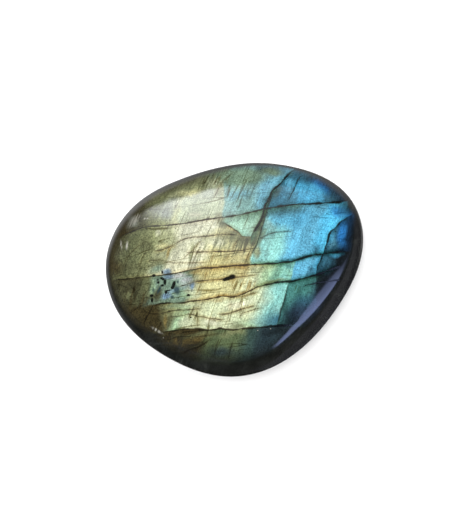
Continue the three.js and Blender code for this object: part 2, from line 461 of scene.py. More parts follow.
# Each crack is a line of points on the face, in millimetres right and up from its middle. A long
# crack is read along the stone, a steep one upwards. Width is in millimetres. Depth is how dark the
# crack is and stain how much it colours the stone beside it.
LONG_CRACKS = {
    "upper seam": (0.4, 1, 0.35, [
        (-26.6, 5.4), (-24, 6.8), (-22, 7.5), (-20.1, 8), (-15, 8.4), (-10.4, 9), (-5.8, 9.8),
        (-1.8, 10.3), (1.2, 10.8), (3.5, 11.3), (6.2, 12), (10.4, 12.7), (13.4, 13.1), (17.3, 13.3),
        (20.8, 13.5), (25.7, 13.8)]),
    "upper seam twin": (0.25, 0.5, 0.2, [
        (-6.9, 9.6), (-3.9, 10.2), (-1.8, 10.6), (-0.5, 10.8), (0, 11.1)]),
    "middle seam": (0.4, 0.95, 0.75, [
        (-28.2, -4.3), (-24.3, -3.9), (-19.7, -3.4), (-15, -2.9), (-12.7, -2.5), (-10.4, -2),
        (-8.1, -1.6), (-3.5, -1.3), (0.5, -0.9), (4.6, -0.7), (8.1, -0.5), (10.4, -0.3), (12.7, 0),
        (15, 0.6), (17.3, 1.3), (19.7, 1.7), (22.7, 2.1), (26.1, 2.3)]),
    "lower seam": (0.42, 0.95, 0.62, [
        (-19, -9.9), (-16.2, -9.6), (-12.7, -9.6), (-9.7, -9.1), (-5.8, -8.6), (-3, -8), (-0.5, -8.2),
        (2.1, -7.4), (4.9, -6), (8.1, -5.2), (10.4, -4.7), (13.2, -4.5), (16, -3.8), (18.7, -3.1),
        (21.5, -2), (24.7, -1)]),
    "lower seam branch": (0.3, 0.51, 0.7, [(-2.1, -8), (1.2, -8.1), (3.5, -7.5), (5.8, -6.9)]),
    "bottom seam": (0.43, 0.95, 0.1, [
        (-17.3, -16.3), (-14.6, -16), (-12.3, -15.6), (-9, -15.5), (-5.3, -15.7), (-3.5, -15.4),
        (-1.4, -15.7), (2.5, -15.4), (6.2, -15.1), (9.9, -14.8), (13.6, -14.7)]),
    "thread above the middle": (0.29, 0.8, 0.38, [
        (-19.7, 2.3), (-16.9, 2.7), (-14.6, 3.6), (-12.7, 4.7), (-10.9, 5.4), (-6.9, 5.8), (-3.5, 6.2),
        (-1.2, 6.3), (0.9, 6)]),
    "blue thread": (0.25, 0.68, 0.2, [(6, 5.4), (7.4, 6.2), (9.2, 6.7), (11.8, 6.9), (14.1, 7.1)]),
    "straw thread": (0.31, 0.9, 0.42, [
        (-11.8, 2.1), (-8.1, 2.2), (-3.5, 2.3), (-0.2, 2.4), (2.5, 2.7), (4.9, 3.2)]),
    "left thread": (0.25, 0.63, 0.42, [
        (-21.3, -0.2), (-19.2, 0.2), (-17.3, 0.3), (-15, -0.2), (-10.4, -0.3), (-6, -0.2)]),
    "thread through the black mark": (0.29, 0.86, 0.5, [
        (-13.6, -6.1), (-11.6, -5.4), (-9.2, -4.7), (-6.9, -4.3), (-4.4, -4.2), (-2.1, -3.9),
        (0.2, -3.6), (2.3, -3.4), (5.8, -3)]),
    "olive thread": (0.31, 0.86, 0.5, [
        (-19.7, -12), (-16.9, -12), (-15.5, -11.6), (-13.6, -11.2), (-10.4, -11.1), (-7.4, -10.8)]),
    "sagging thread": (0.27, 0.72, 0.5, [
        (-16, -12.8), (-12.7, -12.6), (-10.4, -12.1), (-8.6, -12.6), (-7.2, -12.8), (-5.3, -13.2),
        (-1.8, -13.4)]),
    "lower thread": (0.29, 0.8, 0.59, [
        (-4.4, -12.1), (-1.6, -12), (-0.5, -11.6), (1.2, -11.1), (3.2, -10.5), (5.3, -10.1)]),
    "lower right thread": (0.25, 0.63, 0.42, [(0.7, -12.1), (2.8, -11.6), (4.9, -10.9), (6.7, -10.5)]),
    "right thread": (0.29, 0.81, 0.2, [(15.3, -6), (16.9, -5.4), (18.7, -5), (21.3, -4.6), (25.4, -4)]),
    "thread under the bottom seam": (0.28, 0.6, 0.4, [
        (-16.6, -18.4), (-14.6, -17.7), (-12.3, -17.3), (-9, -17.4), (-6.7, -17.1), (-3.7, -16.5)]),
    "bottom seam twin": (0.28, 0.7, 0.3, [
        (-13.2, -17.1), (-12, -16.3), (-9.9, -16.1), (-6.7, -15.9), (-3.9, -15.8)]),
    "left end": (0.32, 0.9, 0.3, [(-28.2, -3.6), (-26.6, -3.2), (-25.4, -3)]),
    "left end, lower": (0.27, 0.61, 0.3, [(-28, -5.7), (-26.1, -5.1), (-24.7, -4.9)]),
    "lower left": (0.31, 0.68, 0.4, [(-24.7, -12.4), (-23.4, -11.4), (-22, -10.4), (-19.7, -9.6)]),
    "bottom left fan": (0.35, 0.6, 0.5, [
        (-12.9, -21.6), (-10.6, -20.4), (-8.1, -19.5), (-6.2, -18.2), (-4.9, -17.2)]),
    "tab edge": (0.34, 0.95, 0.6, TAB_EDGE),
    "lower left, upper": (0.27, 0.61, 0.4, [(-22, -8.7), (-20.1, -8.2), (-19, -7.7)]),
}

STEEP_CRACKS = {
    "break, upper": (0.56, 1, 0.4, [
        (14, 21.4), (12.6, 20.4), (11.7, 19.4), (10.8, 18.5), (10.2, 17.6), (9, 16.9), (8.5, 16.2),
        (8.1, 15.2), (7.8, 14.3), (7.2, 13.4), (6.8, 12.5), (6.6, 11.7), (6.4, 10.9), (6.3, 10.2),
        (5.9, 9.4), (5.3, 8.4), (4.6, 7.3), (4, 6.4), (3.5, 5.8)]),
    "break, right side": (0.3, 0.81, 0.3, [
        (10.4, 17.2), (8.9, 16), (8.1, 14.4), (7.6, 12.8), (7.3, 11.6), (6.9, 10.3), (6.6, 9.1),
        (6.2, 7.7), (5.9, 6.6), (5.5, 5.4), (5, 4), (4.4, 2.7), (3.6, 0.8)]),
    "break, lower": (0.27, 0.74, 0.6, [(3.9, 3.1), (3.5, 2.4), (3, 1.3), (2.5, -0.1), (1.8, -1.2)]),
    "second break": (0.34, 0.85, 0.2, [
        (16.4, 20.3), (15, 19.5), (14.3, 18.6), (14.1, 17.9), (13.8, 17), (13.4, 16.1), (12.9, 15.4),
        (12.5, 14.5), (11.9, 13.5)]),
    "far break": (0.42, 0.95, 0.3, [
        (27.3, 11.1), (26.6, 10.5), (25.7, 10.1), (24.7, 9.5), (24.3, 9.1), (23.6, 8.2), (22.9, 7.7),
        (22.2, 7.1), (21.7, 6.4), (21.5, 5.4), (21.2, 4.3), (20.8, 3.4), (20.6, 2.2), (20.1, 1.3),
        (19.7, 0.3), (19.2, -0.6), (19, -1.3), (18.6, -2.9)]),
    "lower break": (0.29, 0.81, 0.2, [
        (12.5, -4.6), (12.1, -5.7), (11.9, -6.6), (11.7, -7.7), (11.3, -8.9), (11, -10.1),
        (10.6, -11.2), (10.3, -12.6), (9.9, -13.8), (9.5, -14.9)]),
    "bottom split": (0.25, 0.74, 0.2, [
        (-3.5, -17.2), (-4, -18.6), (-4.4, -19.8), (-4.7, -20.9), (-5.2, -22.5)]),
    "bottom split, right": (0.25, 0.68, 0.2, [
        (-0.5, -18), (-0.8, -19.3), (-1.2, -20.5), (-1.4, -21.8), (-1.7, -23.2)]),
    "top hair 1": (0.22, 0.54, 0.4, [(-3, 20.2), (-3.7, 19.3), (-4.4, 18.6), (-4.9, 17.7), (-5.4, 17)]),
    "top hair 2": (0.27, 0.74, 0.4, [
        (-0.2, 20.9), (-1.2, 19.8), (-2.1, 19.1), (-3, 18.4), (-3.5, 17.5), (-3.9, 16.5), (-4.6, 15.1),
        (-5.2, 14)]),
    "top hair 3": (0.27, 0.68, 0.3, [
        (3.7, 20.1), (2.8, 19.1), (2.2, 17.9), (1.6, 16.5), (1, 15.4), (0.6, 14.2), (0.3, 13.3)]),
    "top hair 4": (0.22, 0.54, 0.2, [(1.8, 15.6), (1.4, 14.2), (1.2, 13.3), (0.7, 12.1), (0, 11.1)]),
    "top hair 5": (0.2, 0.47, 0.1, [(4.9, 18.6), (4.4, 17), (3.9, 16.1), (3.5, 14.9), (3.1, 13.5)]),
    "tab hair": (0.22, 0.54, 0.2, [(3.4, 11.3), (3, 10.1), (2.5, 9.1), (2.3, 8.2), (1.8, 7.1)]),
    "heart hair 1": (0.25, 0.68, 0.4, [(1.4, 6.2), (0.7, 5.2), (0, 4), (-0.5, 3.1), (-1, 2)]),
    "heart hair 2": (0.22, 0.54, 0.5, [(-4.2, 2.7), (-5.1, 1.3), (-5.5, 0.1), (-6, -0.9)]),
    "heart hair 3": (0.22, 0.54, 0.5, [(-1.2, 2.2), (-1.6, 1), (-2.4, -0.1)]),
    "heart hair 4": (0.25, 0.61, 0.5, [(-6, -1.4), (-6.6, -2.7), (-6.9, -3.8), (-7.5, -4.7)]),
    "heart hair 5": (0.22, 0.47, 0.5, [(-8.6, -0.6), (-9.2, -2), (-9.5, -3.4), (-10.1, -4.7)]),
    "heart hair 6": (0.22, 0.47, 0.5, [(-7.6, -4.7), (-8.3, -6.1), (-8.8, -7.5), (-9.2, -8.7)]),
    "curl": (0.27, 0.68, 0.5, [
        (-19.9, 4.9), (-21.7, 4), (-23, 3), (-24.3, 1.7), (-25, 0.3), (-25.7, -1)]),
    "left hair": (0.25, 0.61, 0.5, [
        (-20.3, 2.9), (-21, 1.5), (-21.6, 0.3), (-22.1, -0.8), (-22.3, -2)]),
    "grain line": (0.32, 0.81, 0.4, [
        (-18.5, -8.7), (-19, -10.3), (-19.7, -11.7), (-20.3, -12.8), (-21, -14), (-21.8, -15.1)]),
    "grain line, upper": (0.25, 0.54, 0.3, [(-19.4, -5.4), (-20.3, -6.8), (-21.2, -8), (-22, -9.1)]),
    "lower hair 1": (0.27, 0.54, 0.5, [(-8.4, -11), (-8.7, -12.4), (-8.6, -13.8), (-8.6, -15.4)]),
    "lower hair 2": (0.22, 0.45, 0.2, [
        (-0.5, -8.4), (-1, -9.8), (-1.3, -11.2), (-1.5, -12.4), (-1.8, -13.5), (-2.2, -15.4)]),
    "brown hair": (0.27, 0.58, 0.5, [
        (-6.7, 5.4), (-8.1, 4.5), (-9, 3.4), (-9.9, 2.4), (-11.3, 1.3), (-12.7, 0.1)]),
    "short hair": (0.22, 0.54, 0.4, [(-13.6, -9.4), (-14, -10.3), (-14.2, -11.2)]),
}

# The cracks are thin at the stone's left end and heavy towards its right: places and shares of
# their width.
CRACK_HEAVINESS = [(-28, 0.75), (-14, 0.78), (-5, 0.9), (4, 1.05), (26, 1.1)]

# Where the tab begins at its left.
TAB_LEFT = -3.2

# How soft the step from one sheet's colour to the next is, along a seam and past its ends, and how
# far past its ends that is reached, in millimetres.
SEAM_EDGE = 0.15
SEAM_FADE = 3.5
FADE_LENGTH = 8

# How soft the step at a break is, in millimetres.
CRISP_STEP = 0.08

# Where pale green gives way to blue below the middle seam.
SHEET_EDGE = [(13.9, 0.0), (13.4, -1.5), (13.2, -3.0), (12.7, -4.6)]

# Where green-brown gives way to the pale middle between the upper two seams.
CREAM_EDGE = [
    (-13.1, 7.7), (-12.9, 6.4), (-12.6, 5.0), (-13.5, 3.6), (-14.6, 2.2), (-15.3, 0.8), (-15.7, -1.0)]


# Flash

# Where the runs of colour begin along the stone, and how long they are, in millimetres.
RUN_START = -34
RUN_LENGTH = 68

# The flash changes from one sheet of the stone to the next. The sheets lie between the long seams,
# and a break splits most of them in two. Each has the seam under it, the break, how soft the step
# at the break is, how far its colours lean to the right upwards, and the run of colours of each half,
# read along the stone in millimetres.
FLASH_SHEETS = [
    ("bottom", None, None, 0, GRAIN_LEAN, [
        ("ink", -14), ("bark", -10), ("bark", -2.5), ("fern", 1), ("fern", 6.5), ("pine", 10),
        ("pool", 13), ("pool", 16), ("ink", 21)],
        []),
    ("lower", "bottom seam", "lower break", 0.12, GRAIN_LEAN, [
        ("moss", -22), ("moss", -18), ("bark", -14), ("khaki", -11), ("leaf", -8), ("dune", -5),
        ("mint", -1), ("mint", 7), ("sea", 12)],
        [("teal", 14), ("teal", 18.5), ("navy", 22)]),
    ("middle", "lower seam", "sheet edge", 0.3, GRAIN_LEAN, [
        ("moss", -27), ("moss", -21.5), ("olive", -18.5), ("lagoon", -16), ("lagoon", -8.8),
        ("dune", -7.2), ("straw", -5), ("straw", 1.5), ("mint", 5.5), ("leaf", 8.5), ("jade", 10.8),
        ("sea", 13)],
        [("sky", 13.5), ("sky", 17.5), ("blue", 20), ("navy", 23)]),
    ("upper", "middle seam", "break, right side", 0.4, GRAIN_LEAN, [
        ("bark", -31), ("moss", -29), ("olive", -25), ("khaki", -20.5), ("dune", -18), ("cream", -14),
        ("cream", -9), ("straw", -5.5), ("straw", 1), ("khaki", 4)],
        [("sea", 5.5), ("sea", 8), ("sky", 12), ("sky", 15.5), ("azure", 18), ("azure", 20.5),
         ("cobalt", 23.5), ("ink", 26)]),
    ("top", "upper seam", "break, upper", 0.12, 0.1, [
        ("bark", -27), ("moss", -23), ("khaki", -18), ("dune", -14.3), ("cloud", -13.3), ("cloud", -7),
        ("cloud", -4.2), ("mist", -3.5), ("mist", 1), ("haze", 5)],
        [("steel", 8), ("sky", 11), ("blue", 13), ("blue", 17), ("steel", 20.5), ("navy", 24)]),
]

# Oval patches laid over the runs, one after another, under the part of the stone that they keep to.
# Each has its colour, its middle and half sizes in millimetres, its turn in degrees and how strongly
# it covers. A sixth value is how soft its rim is, where that isn't PATCH_SOFTNESS.
PATCH_SOFTNESS = 0.9
FLASH_PATCHES = [
    ("top west", [
        ("olive", (-11.5, 18.3), (12, 2.8), 16, 0.85, 0.5), ("khaki", (-9.5, 16.6), (6.4, 2), 18, 0.75),
        ("sage", (1, 19.8), (10, 2.8), 0, 0.9, 0.6), ("moss", (-22.5, 12), (5, 3.2), 45, 0.6, 0.8),
        ("straw", (-11, 15.7), (4.8, 1), 18, 0.75), ("haze", (1.2, 15.4), (3.6, 2), 0, 0.6),
        ("moss", (7.6, 21), (5, 1.5), -8, 0.75), ("olive", (-4.6, 16.3), (4.6, 1.5), 8, 0.5),
        ("cream", (-9, 11), (2.8, 1.2), 8, 0.8), ("pewter", (-16.4, 11.4), (3.8, 2.8), 10, 0.95, 0.85),
        ("olive", (-18.2, 12.8), (3.6, 2.4), 40, 0.85), ("olive", (-13.6, 14.6), (3, 1), 20, 0.6),
        ("pewter", (-23.8, 9), (2.4, 1.6), 40, 0.7, 0.8), ("moss", (-21.2, 11.6), (2.6, 2), 25, 0.7),
        ("olive", (-16.3, 15.6), (2.2, 1.4), 30, 0.6), ("pewter", (-14.6, 13.4), (2.8, 2), 10, 0.6),
        ("pewter", (-6, 15.4), (3, 1.8), 5, 0.45), ("haze", (6.5, 15.5), (3.5, 3), 60, 0.6),
        ("steel", (7.4, 13.4), (1.4, 3), -20, 0.7),
    ]),
    ("top east", [
        ("steel", (10, 13.4), (5, 1.6), 8, 0.9), ("steel", (16.4, 19.6), (6.8, 2.6), -16, 1),
        ("navy", (18.8, 18.4), (4, 2), -30, 0.5), ("steel", (12.8, 14.6), (2.4, 1.8), 0, 0.6),
        ("steel", (9.4, 15.4), (2.8, 3.2), -30, 0.95, 0.8), ("pine", (9.4, 15.8), (1.5, 2.4), -30, 0.8),
        ("ink", (15.5, 22.4), (8, 2.6), -14, 0.85), ("azure", (15.2, 16.6), (3, 2.2), -30, 0.3),
        ("cobalt", (19.8, 17.2), (3.4, 1.8), -35, 0.8), ("steel", (13.4, 19.6), (3.6, 2), -15, 0.8),
        ("ink", (26.5, 17), (5.6, 9), 45, 0.95, 0.8), ("navy", (20.4, 19.2), (9, 3.2), -36, 0.85),
        ("sage", (11, 21), (4, 1.6), -10, 0.7),
    ]),
    ("top west", [
        ("sage", (8.5, 20.8), (4, 1.6), -10, 0.8),
    ]),
    ("top east", [
        ("steel", (16.5, 20.6), (5, 1.6), -20, 0.7),
    ]),
    ("upper west", [
        ("moss", (-24, -1.6), (7, 2.6), 5, 0.55),
    ]),
    ("before cream", [
        ("khaki", (-16.4, 3), (3.6, 5), 0, 0.5, 0.6), ("olive", (-17.5, -0.2), (4, 2.4), 10, 0.8),
        ("olive", (-15.2, 6.8), (2.4, 1.4), 70, 0.45), ("cream", (-17.8, 6.6), (0.9, 1), 0, 0.6),
        ("straw", (-17, 3.6), (1.8, 1), 0, 0.8),
    ]),
    ("upper west", [
        ("bark", (-27.2, -1.2), (3.2, 2.8), 0, 0.9), ("cream", (-9.4, 1.4), (2.4, 3.6), -30, 0.7),
        ("lagoon", (-17.6, -1.9), (2.8, 1.5), 8, 0.8), ("honey", (-16, 2.6), (3.2, 1), 20, 0.4),
    ]),
    ("before cream", [
        ("honey", (-15.5, 1.4), (0.6, 1.7), -10, 0.7, 0.7),
    ]),
    ("upper west", [
        ("cream", (-5.4, 8.2), (2.6, 1.3), 8, 0.8), ("olive", (-2.8, 8.9), (2.6, 2.2), 0, 0.95),
        ("dune", (-17, 0.8), (2, 1.3), 0, 0.6), ("shine", (-13.6, -1.5), (3.2, 2), 6, 0.6),
        ("shine", (-8.8, 2.6), (3, 2.2), -20, 0.7), ("cream", (-3.8, 4.4), (3, 1.6), 0, 0.95),
        ("moss", (-20.4, 3.4), (2.8, 4), 0, 0.65), ("dune", (-4.5, 5.6), (4, 2), -10, 0.5),
        ("olive", (1, 5.6), (6.4, 2.8), -8, 0.9, 0.8), ("khaki", (-1.6, 3.4), (4, 1.2), 3, 0.4),
        ("gold", (-1.6, 0.6), (7, 1.6), 4, 0.6), ("khaki", (-6.7, 4.9), (1.8, 1.4), 0, 0.5),
        ("khaki", (2.2, -0.2), (1.8, 0.9), 5, 0.5), ("olive", (-25.4, 6.6), (1.6, 2.2), 0, 0.5),
    ]),
    ("upper east", [
        ("blue", (12, 9.6), (9, 4.4), 4, 0.8), ("steel", (10.6, 12), (8, 2.8), 5, 0.9),
        ("mist", (7.4, 8.6), (1.8, 4.5), 18, 0.85), ("sea", (8.3, 2.6), (3.8, 3.2), 0, 0.7),
        ("khaki", (4.8, 2.6), (1.6, 2.6), -12, 0.9, 0.8), ("fern", (6, 5.6), (1.3, 2.8), -20, 0.85, 0.8),
    ]),
    ("upper west", [
        ("fern", (4.2, 5.4), (1.7, 1.9), -20, 0.8, 0.8), ("straw", (3, 2), (1.6, 1), 0, 0.7),
    ]),
    ("upper east", [
        ("pine", (7.2, 11.2), (1.6, 1.8), 0, 0.8), ("cobalt", (24, 12), (3.6, 2), -20, 0.75),
        ("ink", (27.3, 12.9), (4.6, 3.6), 8, 0.97, 0.85), ("ink", (26, 13.8), (3.4, 1.8), 0, 0.6),
        ("steel", (18.6, 2.6), (2.6, 1.8), 10, 0.8), ("steel", (14.4, 11.6), (2.6, 2.6), 0, 0.5),
        ("steel", (15.2, 8.8), (3, 2.4), 0, 0.3), ("steel", (13, 0.4), (5, 1.2), 6, 0.3),
    ]),
    ("upper", [
        ("steel", (16, 0.9), (3.6, 1.4), 12, 0.6),
    ]),
    ("middle west", [
        ("khaki", (5.6, -1.5), (4.5, 0.9), 4, 0.7), ("honey", (-3.2, -8), (3, 1), 10, 0.9),
        ("honey", (1.6, -2.7), (2.8, 1.2), 3, 0.5), ("honey", (1.8, -1.7), (3.4, 0.9), 3, 0.8),
        ("honey", (-0.8, -4.4), (2, 1), 8, 0.6), ("jade", (12.4, -2.6), (2.2, 2), 0, 0.8),
        ("teal", (12.4, -1), (2.8, 1), 6, 0.7), ("moss", (-21.8, -8.4), (5, 3), -30, 0.5, 0.8),
        ("olive", (-18.8, -7.4), (2.8, 2), 0, 0.8), ("khaki", (-24.4, -8), (1.6, 1.6), 0, 0.45),
    ]),
    ("upper west", [
        ("lilac", (-15.3, -2.4), (1.3, 1.1), 6, 0.9, 0.8),
    ]),
    ("middle west", [
        ("lilac", (-14.8, -3.2), (1.9, 0.8), 6, 0.9), ("leaf", (-19, -5.6), (1, 2.4), -10, 0.6),
        ("moss", (-17.6, -7.2), (1.7, 3.2), -22, 0.95, 0.8),
        ("lilac", (-15.8, -8), (1.9, 0.9), 24, 0.95, 0.8), ("lilac", (-14, -6.9), (2.4, 0.7), 8, 0.5),
        ("pearl", (-11.2, -4.3), (1.9, 1), 12, 0.9), ("pearl", (-12.8, -3.2), (2.6, 1.1), 6, 0.9),
        ("mist", (-11.2, -6.2), (1.4, 1.6), 0, 0.8), ("pearl", (-11, -5.2), (2.8, 2.6), 0, 0.6),
        ("mint", (-9.8, -7.6), (2.6, 1.8), 10, 0.85, 0.8), ("lilac", (-9.9, -6), (0.7, 1.6), -22, 0.9, 0.8),
        ("leaf", (-11.4, -8.2), (2, 0.9), 8, 0.7), ("honey", (-8.6, -2.5), (3.4, 0.7), 8, 0.6),
        ("honey", (-7.6, -4.6), (2.2, 0.4), 8, 0.6), ("gold", (-4.4, -2.4), (6.5, 1.9), 5, 0.75),
        ("honey", (-3.4, -4.2), (4.5, 0.8), 8, 0.4), ("honey", (1.6, -7), (4.2, 0.9), 14, 0.65),
        ("khaki", (9, -4.6), (4.5, 0.9), 8, 0.7),
    ]),
    ("middle east", [
        ("steel", (17.2, -2.4), (1.3, 1.4), 20, 0.85),
    ]),
    ("lower west", [
        ("bark", (-22.6, -15.2), (8, 5.6), 0, 0.97, 0.35), ("bark", (-24.4, -10.9), (4.6, 3), 0, 0.6, 0.8),
        ("khaki", (-16, -10.2), (2.6, 1), 5, 0.8, 0.8), ("mint", (-11.2, -9.8), (3.4, 1.4), 5, 0.8),
        ("khaki", (-12.9, -11.6), (2, 1.8), 0, 0.6), ("moss", (-15.6, -13.8), (2.6, 3.4), -20, 0.85),
        ("mint", (-10.8, -13.8), (2.6, 2.4), 2, 0.8), ("honey", (-16.3, -13.6), (0.7, 2.4), 4, 0.45),
        ("olive", (-15, -14), (0.6, 2.2), 4, 0.6, 0.8), ("sage", (-14, -10.4), (3.4, 0.8), 6, 0.6),
        ("khaki", (-8.7, -12.6), (0.5, 2.8), 0, 0.7, 0.8), ("cloud", (-11.4, -14), (2.2, 1.6), 0, 0.6, 0.6),
        ("cream", (-5.6, -14.2), (3, 1.4), 0, 0.8, 0.8), ("cream", (1.6, -9.7), (4, 1), 12, 0.6),
        ("dune", (1.2, -12.4), (2, 1.2), 20, 0.4), ("leaf", (3.6, -14.2), (6, 2.2), 3, 0.8, 0.95),
        ("olive", (0.2, -15.1), (4, 1.6), 4, 0.8), ("shine", (0.6, -10.3), (3.6, 1.6), 8, 0.9),
        ("honey", (-3.8, -9.1), (2.6, 0.8), 10, 0.6), ("khaki", (3.4, -13), (2.4, 1.2), 10, 0.4),
        ("mist", (5.4, -13.4), (3, 2), 0, 0.5), ("mist", (9.5, -10.6), (2, 2), 0, 0.5),
        ("steel", (9.6, -13.8), (5.4, 4), 15, 0.95, 0.95),
    ]),
    ("lower east", [
        ("steel", (15.8, -9.6), (4.2, 3), 30, 0.75), ("navy", (15, -12.8), (9.4, 5.6), 30, 0.97),
        ("ink", (13, -15.5), (7, 4), 20, 0.8), ("ink", (11.2, -10.6), (1.3, 5.2), 12, 0.5),
    ]),
    ("bottom", [
        ("olive", (-8, -16.7), (7, 1), 4, 0.85, 0.8), ("khaki", (-0.4, -16.4), (4, 1.1), 4, 0.8),
        ("honey", (-11.5, -18.2), (6.5, 1.3), 14, 0.35), ("moss", (-9.2, -19.4), (2.8, 0.8), 20, 0.9, 0.6),
        ("pool", (-3, -21), (5.5, 2.6), 5, 0.85), ("ink", (9.6, -16), (4.6, 1.2), 3, 0.6),
        ("ink", (1, -29.4), (26, 10), 2, 0.95, 0.6),
    ]),
    ("past far break", [
        ("ink", (25, 0), (9, 14), 0, 0.85, 0.3), ("steel", (21, 0), (3, 3.4), 10, 0.95),
        ("steel", (22.6, 5.6), (2, 4.4), -20, 0.9, 0.8), ("ink", (28.2, 8.2), (2, 3), 10, 0.6),
        ("cobalt", (24.6, 6.8), (1.8, 4), -14, 0.95, 0.8), ("haze", (22, 4.4), (0.9, 2.2), -20, 0.5),
        ("blue", (21.7, 5.4), (1.5, 2.8), -20, 0.6), ("blue", (23.2, 1.8), (2, 1.1), 10, 0.7),
    ]),
]

# Black grains of ore caught in the stone: middle and half sizes in millimetres, turn in degrees.
BLACK_GRAINS = [
    ((-1.7, -3.95), (1.3, 0.62), 12), ((-0.7, -3.55), (1.1, 0.7), 18), ((-2.3, -4.2), (0.8, 0.4), 5),
    ((-18.7, -3.25), (0.58, 0.45), 0), ((-16.8, -2.4), (0.28, 0.58), 0),
    ((-12.65, -2.5), (0.25, 0.2), 0), ((-16.7, -3.95), (0.78, 0.4), -28),
    ((-16.15, -4.75), (0.47, 0.9), 5), ((-16.7, -5.5), (0.55, 0.35), 10),
    ((-17.7, -4.85), (0.43, 0.38), 20), ((-17.75, -4.2), (0.22, 0.43), 0),
    ((-15.85, -7.05), (0.43, 0.55), -20), ((-15.4, -6.65), (1, 0.2), 8),
    ((-14.1, -5.3), (0.53, 1.2), -14), ((-14.45, -6), (0.53, 0.5), 0),
    ((-10.75, -7.75), (0.43, 0.4), 0), ((-19.2, -7.85), (0.62, 0.5), 15),
    ((-19.1, -8.9), (0.33, 0.75), 0), ((-10.15, -12.9), (0.28, 0.22), 0),
]

# Dark green-blue blots among the black grains, laid out in the same way.
DEEP_BLOTS = [
    ((-13.4, -6.6), (1, 1.5), 20), ((-14.45, -8.2), (0.6, 0.52), 0), ((-13.2, -4.75), (0.42, 0.5), 0),
    ((-17.5, -6.5), (0.42, 1.5), -22), ((-18.9, -6.6), (0.3, 0.8), -10),
]

# Glints painted on near the left end and at the lower left, and a few pale specks of dust: laid out in the
# same way.
PAINTED_GLINTS_AND_SPECKS = [
    ((-23.4, 9.3), (2.5, 1), 50), ((-22.6, 10.3), (1.3, 0.8), 35), ((-20.5, 9.9), (0.75, 0.28), 10),
    ((-26.2, 3.9), (0.33, 1.5), 4), ((-24.9, 3.7), (0.4, 1.4), -8), ((-18, -15.9), (2.2, 0.5), -30),
    ((-16.3, -15.75), (0.25, 0.2), 0), ((-16.5, -17.6), (0.25, 0.2), 0),
    ((5.3, -15.9), (0.2, 0.16), 0), ((8.2, -15.5), (0.18, 0.15), 0), ((6.2, -22.3), (0.62, 0.25), 30),
]

# Places where dark streaks run through the flash: middle, half sizes, turn and colour.
STREAKED_PLACES = [
    ((3.2, 3.4), (3.6, 4.4), -24, "moss"), ((-2, 3.4), (5, 3.6), 10, "olive"),
    ((-8.5, 2.4), (4, 3), 30, "khaki"), ((2, -5), (4, 1.8), 10, "honey"),
    ((-22, -9), (5, 5), 0, "bark"), ((-13.5, -17.8), (6, 2), 12, "moss"),
    ((-6, 18), (7, 2.2), 10, "olive"), ((13, -6), (3, 2), 0, "wedge"),
]

# The way the flash faces: leaned from the face towards its upper left.
FLASH_OUT = (FACE_OUT + FACE_UP * 0.42 - FACE_RIGHT * 0.1).normalized()


def points_upward(line):
    """A steep line's points with the height first, because that is what it is read by."""
    return [(high, right) for right, high in line]


